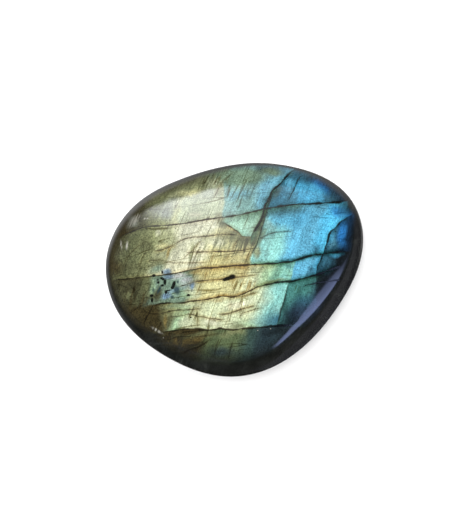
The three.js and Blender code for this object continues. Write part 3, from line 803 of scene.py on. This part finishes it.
class FlashLayers:
    """Builds the cracks and the colour of the flash in a material, one layer after another."""

    def __init__(self, sheet, place, flash):
        self.sheet = sheet
        self.flash = flash
        self.crack_tree = crack_group()
        self.patch_tree = patch_group()
        wobble = sheet.noise(place, 0.6, detail=3.0, colour=True, flat=True)
        shift = sheet.vector("SCALE", sheet.vector("SUBTRACT", wobble, (0.5, 0.5, 0.5)), scale=0.27)
        self.place = sheet.vector("ADD", place, shift)
        self.right, self.high, _ = sheet.split(self.place)
        unevenness = sheet.ramp(sheet.noise(place, 0.45, detail=3.0, flat=True), 0.32, 0.68, 0.45, 1.4)
        heaviness = sheet.curve(self.right, CRACK_HEAVINESS)
        self.unevenness = sheet.times(unevenness, heaviness)
        cloud = sheet.noise(place, 0.16, detail=3.0, colour=True, flat=True)
        drift = sheet.vector("SCALE", sheet.vector("SUBTRACT", cloud, (0.5, 0.5, 0.5)), scale=3.0)
        self.soft_place = sheet.vector("ADD", self.place, drift)
        self.soft_right, self.soft_high, _ = sheet.split(self.soft_place)
        self.core = None
        self.halo = None
        self.sides = {}
        self.areas = {}

    def crack(self, name, steep, width, depth, stain, line):
        """Adds a crack to the masks. A steep one runs straight from point to point."""
        sheet = self.sheet
        points = points_upward(line) if steep else line
        along, across = (self.high, self.right) if steep else (self.right, self.high)
        ends = sorted(point[0] for point in points)
        out = sheet.place(
            self.crack_tree, along=along, across=across, line=sheet.curve(along, points, jagged=steep),
            start=ends[0], end=ends[-1], width=width, depth=depth, stain=stain, unevenness=self.unevenness)
        self.core = self.strongest(self.core, out["Core"])
        self.halo = self.strongest(self.halo, out["Halo"])
        self.sides[name] = out["Side"]

    def edge(self, name, line):
        """A steep edge between two colours, with no crack along it."""
        level = self.sheet.curve(self.high, points_upward(line), jagged=True)
        self.sides[name] = self.sheet.math("SUBTRACT", self.right, level)

    def strongest(self, so_far, mask):
        """The stronger of two masks. Masks are joined as they are made, so that few wait at once."""
        return mask if so_far is None else self.sheet.math("MAXIMUM", so_far, mask)

    def beyond(self, name, softness=0.15):
        """One side of a crack: above a long one, or to the right of a steep one."""
        return self.sheet.ramp(self.sides[name], -softness, softness)

    def above_seam(self, name):
        """The side above a seam, crisp along the seam and ever softer past its two ends."""
        start, end = LONG_CRACKS[name][3][0][0], LONG_CRACKS[name][3][-1][0]
        blur = self.sheet.curve(self.right, [
            (start - FADE_LENGTH, SEAM_FADE), (start, SEAM_EDGE),
            (end, SEAM_EDGE), (end + FADE_LENGTH, SEAM_FADE)], jagged=True)
        return self.sheet.ramp(self.sheet.math("DIVIDE", self.sides[name], blur), -1, 1)

    def run(self, stops, lean):
        """A run of the flash's colours along the stone, on a line that leans to the right upwards."""
        along = self.sheet.math("MULTIPLY_ADD", self.soft_high, -lean, self.soft_right)
        share = self.sheet.math("MULTIPLY_ADD", along, 1 / RUN_LENGTH, -RUN_START / RUN_LENGTH)
        node = self.sheet.add("ShaderNodeValToRGB")
        self.sheet.put(node.inputs["Fac"], share)
        node.color_ramp.interpolation = "EASE"
        elements = node.color_ramp.elements
        while len(elements) < len(stops):
            elements.new(0.5)
        for element, (name, place) in zip(elements, stops):
            element.position = (place - RUN_START) / RUN_LENGTH
            element.color = (*getattr(self.flash, name), 1)
        return node.outputs["Color"]

    def lay_sheets(self):
        """The runs of all the sheets, one above the next, and each half sheet's area."""
        sheet = self.sheet
        result = None
        above = None
        for name, seam, broken, softness, lean, west, east in FLASH_SHEETS:
            colour_out = self.run(west, lean)
            right_half = self.beyond(broken, softness) if broken else None
            if broken:
                colour_out = sheet.paint(right_half, colour_out, self.run(east, lean))
            here = self.above_seam(seam) if seam else None
            result = sheet.paint(here, result, colour_out) if seam else colour_out
            if above is not None:
                lower_name, lower_share, lower_right = above
                self.note_area(lower_name, lower_share, here, lower_right)
            above = (name, here, right_half)
        self.note_area(*above[:2], None, above[2])
        return result

    def note_area(self, name, over_lower_seam, over_upper_seam, right_half):
        sheet = self.sheet
        area = over_lower_seam
        if over_upper_seam is not None:
            under = sheet.rest(over_upper_seam)
            area = under if area is None else sheet.times(area, under)
        self.areas[name] = area
        if right_half is not None:
            self.areas[f"{name} east"] = sheet.times(area, right_half)
            self.areas[f"{name} west"] = sheet.math("SUBTRACT", area, self.areas[f"{name} east"])

    def mark_areas(self):
        """Three more areas, for what keeps to one side of a seam or a step."""
        sheet = self.sheet
        under_upper = sheet.rest(self.beyond("upper seam"))
        self.areas["under upper seam"] = under_upper
        self.areas["past far break"] = sheet.times(self.beyond("far break"), under_upper)
        before_cream = sheet.rest(self.beyond("cream edge", 0.3))
        self.areas["before cream"] = sheet.times(before_cream, self.areas["upper west"])

    def patch(self, middle, reach, turn, softness, strength, area=None, crisp=False):
        """The mask of an oval. A crisp one keeps its place, and the others drift a little."""
        turned = math.radians(turn)
        wide = Vector((math.cos(turned), math.sin(turned), 0)) / reach[0]
        high = Vector((-math.sin(turned), math.cos(turned), 0)) / reach[1]
        mask = self.sheet.place(
            self.patch_tree, place=self.place if crisp else self.soft_place, middle=(*middle, 0),
            wide=wide, high=high, softness=softness, strength=strength)["Mask"]
        return mask if area is None else self.sheet.times(mask, area)

    def lay_patches(self, colour_out):
        for area, patches in FLASH_PATCHES:
            for name, middle, reach, turn, strength, *own_softness in patches:
                softness = own_softness[0] if own_softness else PATCH_SOFTNESS
                mask = self.patch(middle, reach, turn, softness, strength, self.areas[area])
                colour_out = self.sheet.paint(mask, colour_out, getattr(self.flash, name))
        return colour_out

    def lay_break(self, colour_out):
        """The bright tab under the upper seam, the shade along that seam, and the wedge in the break."""
        sheet = self.sheet
        under_upper = self.areas["under upper seam"]
        before_break = sheet.rest(self.beyond("break, upper", CRISP_STEP))
        tab = sheet.times(self.beyond("tab edge", CRISP_STEP), under_upper, before_break)
        tab = sheet.times(tab, sheet.ramp(self.right, TAB_LEFT, TAB_LEFT + 1.5), 0.85)
        colour_out = sheet.paint(tab, colour_out, self.flash.tab)
        shade_under = sheet.times(sheet.ramp(self.sides["upper seam"], -2.6, -0.3), under_upper)
        shade_along = sheet.curve(self.right, [(-6, 0), (1, 0.9), (10, 1), (18, 0.2)])
        colour_out = sheet.paint(
            sheet.times(shade_under, shade_along, 0.6), colour_out, self.flash.wedge)
        before_side = sheet.rest(self.beyond("break, right side", 0.7))
        wedge = sheet.times(sheet.rest(before_break), before_side)
        wedge = sheet.times(wedge, sheet.ramp(self.soft_high, 3.8, 6.4))
        wedge = sheet.times(wedge, sheet.ramp(self.high, 17.5, 16.0))
        deeper = sheet.ramp(self.sides["break, upper"], 0.0, 2.4, 0.97, 0.6)
        return sheet.paint(sheet.times(wedge, deeper), colour_out, self.flash.wedge)


# Noise that darkens and brightens the flash: the range of it that tells, its darkest and its palest
# shade, and how strongly it is laid on.
GRAIN_SHADES = {
    "Bands": (0.34, 0.66, 0.78, 1.2, 0.9),
    "Streaks": (0.32, 0.68, 0.72, 1.26, 0.9),
    "Speckle": (0.36, 0.64, 0.62, 1.38, 0.95),
}

# Where the stone turns from warm to cold, in millimetres to the right of its middle.
WARM_TO_COLD = (2, 10)

# The colours are given as they look in the photo's light. This is the share that is the stone's own.
OWN_SHARE = 0.59

# How much the roughness of the polish varies with the grain, and how much a crack adds to it.
GRAIN_ROUGHNESS = 0.04
CRACK_ROUGHNESS = 0.3


def labradorite_material(scene):
    """The polished stone: a dark body, the flash over it, cracks, stains and grains, and a gloss."""
    polish = scene.labradorite_polish
    flash = scene.labradorite_flash
    body = scene.labradorite_body
    material = bpy.data.materials.new("Polished labradorite")
    material.use_nodes = True
    material.node_tree.nodes.clear()
    sheet = NodeSheet(material.node_tree)

    coordinates = sheet.add("ShaderNodeTexCoord").outputs
    place = sheet.place(face_place_group(), position=coordinates["Object"])["Place"]
    layers = FlashLayers(sheet, place, flash)
    for name, (width, depth, stain, line) in LONG_CRACKS.items():
        layers.crack(name, False, width, depth, stain, line)
    for name, (width, depth, stain, line) in STEEP_CRACKS.items():
        layers.crack(name, True, width, depth, stain, line)
    layers.edge("sheet edge", SHEET_EDGE)
    layers.edge("cream edge", CREAM_EDGE)

    flash_colour = layers.lay_sheets()
    layers.mark_areas()
    flash_colour = layers.lay_patches(flash_colour)
    flash_colour = layers.lay_break(flash_colour)

    grain = sheet.place(grain_group(), position=coordinates["Object"], normal=coordinates["Normal"])
    hatch = sheet.ramp(grain["Hatch"], 0.5, 0.62)
    for middle, reach, turn, name in STREAKED_PLACES:
        mask = sheet.times(layers.patch(middle, reach, turn, 0.6, 0.8), hatch)
        flash_colour = sheet.paint(mask, flash_colour, getattr(flash, name))
    shades = {}
    for name, (low, high, darkest, palest, strength) in GRAIN_SHADES.items():
        shades[name] = sheet.ramp(grain[name], low, high, darkest, palest, "LINEAR")
        flash_colour = sheet.paint(strength, flash_colour, sheet.grey(shades[name]), "MULTIPLY")
    cold = sheet.ramp(layers.right, *WARM_TO_COLD)
    crinkled = sheet.times(grain["Crinkle"], sheet.ramp(layers.right, -22.0, -12.0, 0.55, 0.22))
    flash_colour = sheet.paint(crinkled, flash_colour, body.crack, "MULTIPLY")
    thread = sheet.times(grain["Threads"], sheet.blend(cold, 0.85, 0.4))
    thread_colour = sheet.paint(cold, body.thread, body.crack)
    flash_colour = sheet.paint(thread, flash_colour, thread_colour, "MULTIPLY")
    specks = sheet.times(grain["Specks"], 0.6)
    flash_colour = sheet.paint(specks, flash_colour, body.crack, "MULTIPLY")

    # What is caught in the stone, then the painted glints and the pale specks of dust, with how strongly
    # each covers and how soft its rim is.
    ragged = sheet.ramp(grain["Streaks"], 0.38, 0.56)
    caught = (
        (DEEP_BLOTS, body.deep, 0.85, 0.7, None),
        (BLACK_GRAINS, body.ore, 0.98, 0.5, None),
        (PAINTED_GLINTS_AND_SPECKS, body.glint_and_speck, 1.0, 0.95, ragged),
    )
    for ovals, oval_colour, strength, softness, within in caught:
        mask = None
        for middle, reach, turn in ovals:
            oval = layers.patch(middle, reach, turn, softness, strength, area=within, crisp=True)
            mask = layers.strongest(mask, oval)
        flash_colour = sheet.paint(mask, flash_colour, oval_colour)

    # The flash is a sheen painted into the colour. It turns brown, then dies away, where the surface leans
    # far from the sheets.
    over = sheet.dot(coordinates["Normal"], FACE_OUT)
    brown = sheet.times(sheet.ramp(over, 0.74, 0.54), sheet.ramp(layers.right, 2.0, -12.0))
    brown_by_height = sheet.curve(layers.high, [
        (-20, 0.9), (-13, 0.85), (-9, 0.35), (-5, 0.5), (-1, 0.9), (3, 0.7), (10, 0.5)])
    flash_colour = sheet.paint(sheet.times(brown, brown_by_height), flash_colour, body.umber)
    strength = sheet.ramp(sheet.dot(coordinates["Normal"], FLASH_OUT), 0.40, 0.74)
    strength = sheet.times(strength, sheet.ramp(over, 0.34, 0.64))

    # The dark stone under the flash, with glints, and a faint blue sheen at the back.
    under = sheet.paint(sheet.ramp(grain["Clouds"], 0.34, 0.7, 0.0, 0.4), body.feldspar, body.smoke)
    under = sheet.paint(0.7, under, sheet.grey(shades["Streaks"]), "MULTIPLY")
    under = sheet.paint(0.5, under, sheet.grey(shades["Speckle"]), "MULTIPLY")
    under = sheet.paint(sheet.times(grain["Threads"], 0.16), under, body.glint)
    back = sheet.times(sheet.ramp(over, -0.5, -0.95), sheet.ramp(grain["Bands"], 0.42, 0.66), 0.35)
    under = sheet.paint(back, under, sheet.paint(grain["Clouds"], flash.pine, flash.cobalt))
    colour_out = sheet.paint(strength, under, flash_colour)

    # The cracks and the stain beside them lie over all of it.
    stain = sheet.paint(cold, body.rust, body.weed)
    spread = sheet.times(sheet.blend(cold, 1.0, 1.7), sheet.ramp(layers.right, -15.0, -5.0, 0.45, 1.0))
    halo = sheet.times(layers.halo, spread)
    colour_out = sheet.paint(halo, colour_out, stain, "MULTIPLY")
    filling = sheet.paint(cold, body.seam, body.crack)
    colour_out = sheet.paint(layers.core, colour_out, filling, "MULTIPLY")
    colour_out = sheet.paint(1.0, colour_out, (OWN_SHARE, OWN_SHARE, OWN_SHARE), "MULTIPLY")

    surface = sheet.add("ShaderNodeBsdfPrincipled")
    sheet.put(surface.inputs["Base Color"], colour_out)
    worn = sheet.math(
        "MULTIPLY_ADD", grain["Speckle"], GRAIN_ROUGHNESS, polish.roughness - GRAIN_ROUGHNESS / 2)
    roughness = sheet.math("MULTIPLY_ADD", layers.core, CRACK_ROUGHNESS, worn)
    sheet.put(surface.inputs["Roughness"], roughness)
    relief = sheet.add("ShaderNodeBump")
    sheet.put(relief.inputs["Strength"], 0.12)
    sheet.put(relief.inputs["Distance"], polish.grain_relief)
    sheet.put(relief.inputs["Height"], grain["Streaks"])
    sheet.put(surface.inputs["Normal"], relief.outputs["Normal"])
    surface.inputs["IOR"].default_value = polish.refraction
    output = sheet.add("ShaderNodeOutputMaterial")
    material.node_tree.links.new(surface.outputs[0], output.inputs["Surface"])
    return material


# Modelling

def select_only(thing):
    bpy.ops.object.select_all(action="DESELECT")
    thing.select_set(True)
    bpy.context.view_layer.objects.active = thing


# Corners nearer than this are one corner. Triangles less bent than this, in degrees, make one
# four-sided face.
WELD_DISTANCE = 0.002 * MM
FACE_BEND = 40

# The polisher's waves fade out towards the resting flat over this height. The lowest share of it
# has none.
WAVE_FADE = 4 * MM
WAVE_FREE = 0.1


def copy_of_solid(node, name):
    """A free copy of a CAD solid, with its loose triangles joined into one closed skin."""
    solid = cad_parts[node]
    piece = bpy.data.objects.new(name, solid.data.copy())
    piece.data.name = name
    piece.data.materials.clear()
    bpy.context.collection.objects.link(piece)
    piece.matrix_world = Matrix.Identity(4)
    select_only(piece)
    bpy.ops.object.mode_set(mode="EDIT")
    bpy.ops.mesh.select_all(action="SELECT")
    bpy.ops.mesh.remove_doubles(threshold=WELD_DISTANCE)
    bend = math.radians(FACE_BEND)
    bpy.ops.mesh.tris_convert_to_quads(face_threshold=bend, shape_threshold=bend)
    bpy.ops.object.mode_set(mode="OBJECT")
    return piece


def apply_modifier(piece, kind, name, **settings):
    select_only(piece)
    modifier = piece.modifiers.new(name, kind)
    for key, value in settings.items():
        setattr(modifier, key, value)
    bpy.ops.object.modifier_apply(modifier=modifier.name)


class OBJECT_OT_labradorite_stone(bpy.types.Operator):
    """Adds the polished stone over its CAD solid"""
    bl_idname = "object.labradorite_stone"
    bl_label = "Polished stone"
    bl_options = {"REGISTER", "UNDO"}

    def execute(self, context):
        polish = context.scene.labradorite_polish
        piece = copy_of_solid("stone", "polished_stone")
        apply_modifier(piece, "SUBSURF", "Smooth skin", levels=2, render_levels=2)

        free = piece.vertex_groups.new(name="polished")
        lowest = CAD_BOX[0][2]
        for vertex in piece.data.vertices:
            lift = (vertex.co.z - lowest) / WAVE_FADE
            free.add([vertex.index], min(1, max(0, lift - WAVE_FREE)), "REPLACE")
        waves = bpy.data.textures.new("Polishing waves", "CLOUDS")
        waves.noise_scale = polish.wave_length
        waves.noise_depth = 1
        apply_modifier(
            piece, "DISPLACE", "Hand polish", texture=waves, texture_coords="LOCAL",
            strength=polish.waviness, mid_level=0.75, vertex_group=free.name)
        piece.vertex_groups.clear()

        select_only(piece)
        bpy.ops.object.shade_smooth()
        piece.data.materials.append(labradorite_material(context.scene))
        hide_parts("stone")
        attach(piece, "root")
        return {"FINISHED"}


# Stage

# What the polish mirrors. Azimuth is in degrees round the stone, from -Y towards +X, and the points
# of the curves below are degrees first, then what is read off there.
SOFTBOX_AZIMUTH = -150
STRIP_AZIMUTH = 60
SOFTBOX_TINT = (1, 1.03, 1.06)
STRIP_TINT = (0.74, 0.93, 1.7)
SLATE_TINT = (1.0, 1.0, 1.18)
UNLIT_WALL = (0.035, 0.037, 0.04)
DARK_TABLE = (0.03, 0.03, 0.03)
WHITE = (1.0, 1.0, 1.0)


def tinted(level, tint):
    return tuple(level * share for share in tint)


def studio_world(look):
    """White to the camera, soft light on every surface, and a plain studio for the gloss to mirror."""
    world = bpy.data.worlds.new("Studio")
    bpy.context.scene.world = world
    world.use_nodes = True
    world.node_tree.nodes.clear()
    sheet = NodeSheet(world.node_tree)
    towards = sheet.vector("NORMALIZE", sheet.add("ShaderNodeTexCoord").outputs["Generated"])
    x, y, z = sheet.split(towards)
    elevation = sheet.math("DEGREES", sheet.math("ARCSINE", z))
    azimuth = sheet.math("DEGREES", sheet.math("ARCTAN2", x, sheet.times(y, -1.0)))

    # Counted from the middle of the softbox, so that the count doesn't jump where it lights the stone.
    from_box = sheet.math("WRAP", sheet.math("ADD", azimuth, -SOFTBOX_AZIMUTH), 180.0, -180.0)
    edge = sheet.curve(from_box, [
        (-60, 5), (-40, 8), (-33, 18), (-30, 23), (-26, 26.5), (-20, 26.8), (-14, 26), (-11, 25),
        (-7, 24.2), (-4, 24.2), (0, 23.4), (3, 21), (7, 17.5), (11, 12.5), (16, 6), (20, 2)])
    edge_softness = sheet.curve(from_box, [(-16, 2), (-9, 3), (-3, 5), (20, 5)])
    past_edge = sheet.math("DIVIDE", sheet.math("SUBTRACT", elevation, edge), edge_softness)
    box = sheet.ramp(past_edge, -0.9, 1.1)
    box_fade = sheet.curve(elevation, [
        (20, 1), (30, 0.85), (45, 0.55), (60, 0.34), (75, 0.16), (90, 0.08)])
    box_sides = sheet.curve(from_box, [
        (-75, 0), (-45, 0.04), (-33, 0.09), (-24, 0.12), (-19, 0.2), (-15, 0.34), (-12, 0.6),
        (-9, 0.85), (-2, 0.9), (2, 0.85), (6, 0.7), (12, 0.55), (16, 0.36), (20, 0.16), (26, 0.05),
        (40, 0.02), (60, 0)])
    box_light = sheet.times(box, box_fade, box_sides)
    mirrored = sheet.paint(box_light, UNLIT_WALL, tinted(look.softbox, SOFTBOX_TINT))

    # The strip, a little bowed, low down on the lower right.
    strip_line = sheet.curve(azimuth, [
        (20, 1), (27, 4), (33, 7), (42, 9.5), (48, 8.5), (58, 6), (62, 4.5), (66, 2), (76, -1), (88, -2)])
    strip_off = sheet.math("SUBTRACT", elevation, strip_line)
    inner = sheet.math("SUBTRACT", strip_off, sheet.curve(azimuth, [
        (22, 0), (34, 2), (45, 4), (54, 7), (60, 6), (64, 3), (68, 0), (76, -3), (88, -4)]))
    strip = sheet.times(sheet.ramp(strip_off, -8.2, -6.2), sheet.ramp(inner, 1.6, -1.2))
    strip_level = sheet.ramp(inner, -12.0, 0.0, 1.0, 0.6)
    strip_ends = sheet.curve(azimuth, [
        (23, 0), (30, 1), (57, 1), (61, 0.85), (65, 0.42), (70, 0.28), (86, 0.28), (92, 0)])
    strip_light = sheet.times(strip, strip_ends, strip_level)
    mirrored = sheet.paint(strip_light, mirrored, tinted(look.strip, STRIP_TINT))

    # The table below the horizon: dark near it, pale further down on the softbox's side, and slate
    # on the strip's side.
    pale_edge = sheet.curve(from_box, [
        (-60, -14), (-20, -12), (-5, -7), (5, -3), (15, -7), (30, -14), (70, -22)])
    pale = sheet.ramp(sheet.math("SUBTRACT", elevation, pale_edge), 3.0, -14.0)
    pale_round = sheet.curve(from_box, [
        (-90, 0.12), (-60, 0.42), (-25, 0.52), (-10, 0.5), (2, 0.8), (12, 0.95), (20, 1.1), (30, 1.1),
        (45, 0.6), (67, 0.42), (76, 0.25), (84, 0.13), (95, 0.07), (112, 0.045), (125, 0.05),
        (150, 0.07)])
    pale_down = sheet.curve(elevation, [(-85, 0.3), (-45, 0.6), (-15, 1.0)])
    pale_level = sheet.times(pale_round, pale_down)
    table = sheet.paint(pale, DARK_TABLE, sheet.grey(pale_level))
    slate_edge = sheet.curve(azimuth, [(15, -50), (27, -42), (42, -30), (56, -27), (62, -21), (80, -18)])
    slate = sheet.ramp(sheet.math("SUBTRACT", elevation, slate_edge), 2.5, -1.5)
    from_strip = sheet.math("SUBTRACT", azimuth, STRIP_AZIMUTH)
    slate_side = sheet.math("COSINE", sheet.math("RADIANS", from_strip))
    slate = sheet.times(slate, sheet.ramp(slate_side, 0.3, 0.7))
    slate_level = sheet.curve(elevation, [
        (-80, 0.05), (-62, 0.075), (-48, 0.125), (-35, 0.18), (-25, 0.22)])
    slate_level = sheet.times(slate_level, sheet.ramp(azimuth, 76.0, 96.0, 1.1, 0.6))
    slate_colour = sheet.paint(1.0, sheet.grey(slate_level), SLATE_TINT, "MULTIPLY")
    table = sheet.paint(slate, table, slate_colour)
    below = sheet.ramp(elevation, 0.5, -2.5)
    mirrored = sheet.paint(sheet.times(below, sheet.rest(strip_light)), mirrored, table)

    path = sheet.add("ShaderNodeLightPath").outputs
    light = sheet.paint(path["Is Glossy Ray"], tinted(look.fill, WHITE), mirrored)
    light = sheet.paint(path["Is Camera Ray"], light, WHITE)
    background = sheet.add("ShaderNodeBackground")
    sheet.put(background.inputs["Color"], light)
    output = sheet.add("ShaderNodeOutputWorld")
    world.node_tree.links.new(background.outputs[0], output.inputs["Surface"])


# The floor's mottle goes from one of these to the other.
CARD_DARKER = (0.88, 0.88, 0.88)
CARD_PALER = (0.92, 0.92, 0.92)

# The broad light overhead: its height and its side, in metres.
OVERHEAD_HEIGHT = 0.7
OVERHEAD_SIZE = 1.1


def pale_floor_material():
    """Matt white card with a very faint mottle."""
    material = bpy.data.materials.new("Pale card")
    material.use_nodes = True
    sheet = NodeSheet(material.node_tree)
    surface = material.node_tree.nodes["Principled BSDF"]
    position = sheet.add("ShaderNodeTexCoord").outputs["Object"]
    mottle = sheet.noise(position, 40.0, detail=3.0)
    sheet.put(surface.inputs["Base Color"], sheet.paint(mottle, CARD_DARKER, CARD_PALER))
    surface.inputs["Roughness"].default_value = 0.9
    return material


class OBJECT_OT_labradorite_stage(bpy.types.Operator):
    """Adds the camera, the pale floor and the soft lights"""
    bl_idname = "object.labradorite_stage"
    bl_label = "Stage, lights and camera"
    bl_options = {"REGISTER", "UNDO"}

    def execute(self, context):
        scene = context.scene
        look = scene.labradorite_studio

        data = bpy.data.cameras.new("Photo camera")
        data.lens = CAMERA_LENS
        data.sensor_width = CAMERA_SENSOR
        data.clip_start = 0.01
        data.clip_end = 20
        camera = bpy.data.objects.new("photo_camera", data)
        context.collection.objects.link(camera)
        turn = Matrix((FACE_RIGHT, FACE_UP, FACE_OUT)).transposed().to_4x4()
        camera.matrix_world = Matrix.Translation((FACE_MIDDLE + FACE_OUT * CAMERA_DISTANCE) * MM) @ turn
        scene.camera = camera
        scene.view_settings.view_transform = "Standard"

        bpy.ops.object.select_all(action="DESELECT")
        bpy.ops.mesh.primitive_plane_add(size=look.floor_size, location=(0, 0, CAD_BOX[0][2]))
        floor = context.active_object
        floor.name = "pale_floor"
        floor.data.materials.append(pale_floor_material())
        floor.visible_glossy = False

        bpy.ops.object.light_add(type="AREA", location=(0, 0, OVERHEAD_HEIGHT))
        overhead = context.active_object
        overhead.name = "overhead_light"
        overhead.data.shape = "SQUARE"
        overhead.data.size = OVERHEAD_SIZE
        overhead.data.energy = look.overhead_power
        overhead.visible_glossy = False
        overhead.visible_camera = False

        studio_world(look)
        return {"FINISHED"}


class VIEW3D_PT_labradorite(bpy.types.Panel):
    """Lists the stone's pieces and its settings"""
    bl_label = "Polished labradorite"
    bl_idname = "VIEW3D_PT_labradorite"
    bl_space_type = "VIEW_3D"
    bl_region_type = "UI"
    bl_category = "Labradorite"

    def draw(self, context):
        layout = self.layout
        for operator in OPERATORS:
            layout.operator(operator.bl_idname)
        for name, kind in SETTINGS.items():
            box = layout.box()
            settings = getattr(context.scene, name)
            for key in kind.__annotations__:
                box.prop(settings, key)


OPERATORS = (OBJECT_OT_labradorite_stone, OBJECT_OT_labradorite_stage)
SETTINGS = {
    "labradorite_polish": StonePolish,
    "labradorite_flash": FlashColours,
    "labradorite_body": BodyColours,
    "labradorite_studio": StudioLook,
}


def register():
    for kind in (*SETTINGS.values(), *OPERATORS, VIEW3D_PT_labradorite):
        bpy.utils.register_class(kind)
    for name, kind in SETTINGS.items():
        setattr(bpy.types.Scene, name, bpy.props.PointerProperty(type=kind))


def unregister():
    for name in SETTINGS:
        delattr(bpy.types.Scene, name)
    for kind in (VIEW3D_PT_labradorite, *OPERATORS, *SETTINGS.values()):
        bpy.utils.unregister_class(kind)


def main():
    register()
    bpy.ops.object.labradorite_stone()
    bpy.ops.object.labradorite_stage()


if __name__ == "__main__":
    main()
